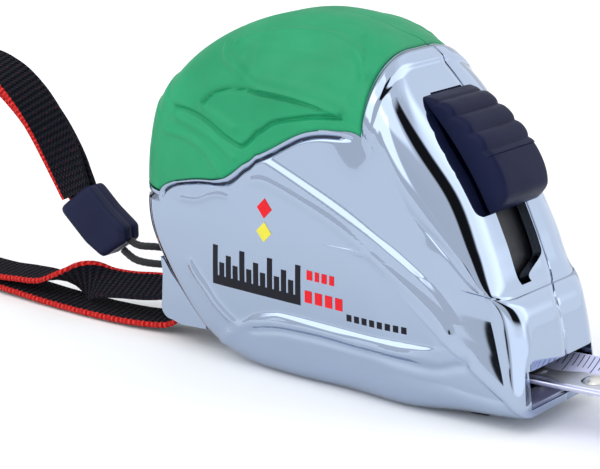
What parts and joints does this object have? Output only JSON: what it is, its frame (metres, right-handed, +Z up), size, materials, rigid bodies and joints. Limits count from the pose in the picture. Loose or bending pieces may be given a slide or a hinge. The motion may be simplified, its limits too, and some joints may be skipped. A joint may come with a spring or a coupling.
{
  "type": "tape measure",
  "caption": "Pocket tape measure: chrome-plated rounded case with rubber grip, curved thumb lock, riveted end hook on a hollow blade, belt clip and wrist strap.",
  "frame": {"origin": "on the flat underside, below the middle of the case", "axes": "+X is the way the blade pulls out, +Z is up, +Y is the belt-clip side"},
  "size_m": [0.173, 0.0452, 0.0632],
  "materials": {
    "case_chrome": "mirror bright plating on moulded plastic",
    "grip_rubber": "matt moulded rubber",
    "lock_plastic": "satin moulded plastic",
    "steel": "plain spring steel",
    "aluminium_post": "turned",
    "reel_plastic": "matt moulded plastic",
    "blade_paint": "smooth coated paint",
    "rivet_nickel": "nickel plated",
    "screw_steel": "blackened",
    "clip_chrome": "plated spring steel",
    "webbing": "ribbed woven webbing with one red edge",
    "clasp_plastic": "satin moulded plastic",
    "cord_textile": "braided"
  },
  "bodies": {
    "case": {"right_shell": "case_chrome", "left_shell": "case_chrome", "right_grip": "grip_rubber", "left_grip": "grip_rubber", "mouth_wear_plate": "steel", "spindle_post": "aluminium_post", "case_screws": "screw_steel", "belt_clip": "clip_chrome", "belt_clip_screw": "screw_steel", "strap_bracket": "clip_chrome", "strap_bar": "screw_steel", "strap_webbing_upper": "webbing", "strap_webbing_lower": "webbing", "strap_clasp": "clasp_plastic", "strap_cord": "cord_textile"},
    "lock": {"lock_slider": "lock_plastic", "lock_thumb_pad": "lock_plastic", "lock_detent_spring": "steel"},
    "brake": {"brake_button": "lock_plastic", "brake_spring": "steel"},
    "reel": {"reel_drum": "reel_plastic", "reel_cover_disc": "reel_plastic", "mainspring": "steel", "tape_coil": "blade_paint"},
    "blade": {"tape_blade": "blade_paint", "blade_rivets": "rivet_nickel"},
    "hook": {"end_hook": "rivet_nickel"}
  },
  "joints": [
    {"name": "tape_slide", "type": "slide", "parent": "case", "child": "blade", "axis": [0.9986, 0, 0.0523], "range_m": [-0.021, 0.026]},
    {"name": "reel_spin", "type": "hinge", "parent": "case", "child": "reel", "pos_m": [-0.008, 0, 0.0315], "axis": [0, 1, 0], "range_deg": [-63, 52]},
    {"name": "hook_float", "type": "slide", "parent": "blade", "child": "hook", "axis": [0.9986, 0, 0.0523], "range_m": [-0.0005, 0.0005]},
    {"name": "lock_slide", "type": "hinge", "parent": "case", "child": "lock", "pos_m": [-0.026, 0, 0.004], "axis": [0, 1, 0], "range_deg": [0, 9.5]},
    {"name": "brake_press", "type": "slide", "parent": "case", "child": "brake", "axis": [0, 0, 1], "range_m": [0, 0.0005], "stiffness_N_per_m": 3000}
  ],
  "couplings": [
    {"joint": "reel_spin", "follows": "tape_slide", "rad_per_m": -41.667}
  ]
}
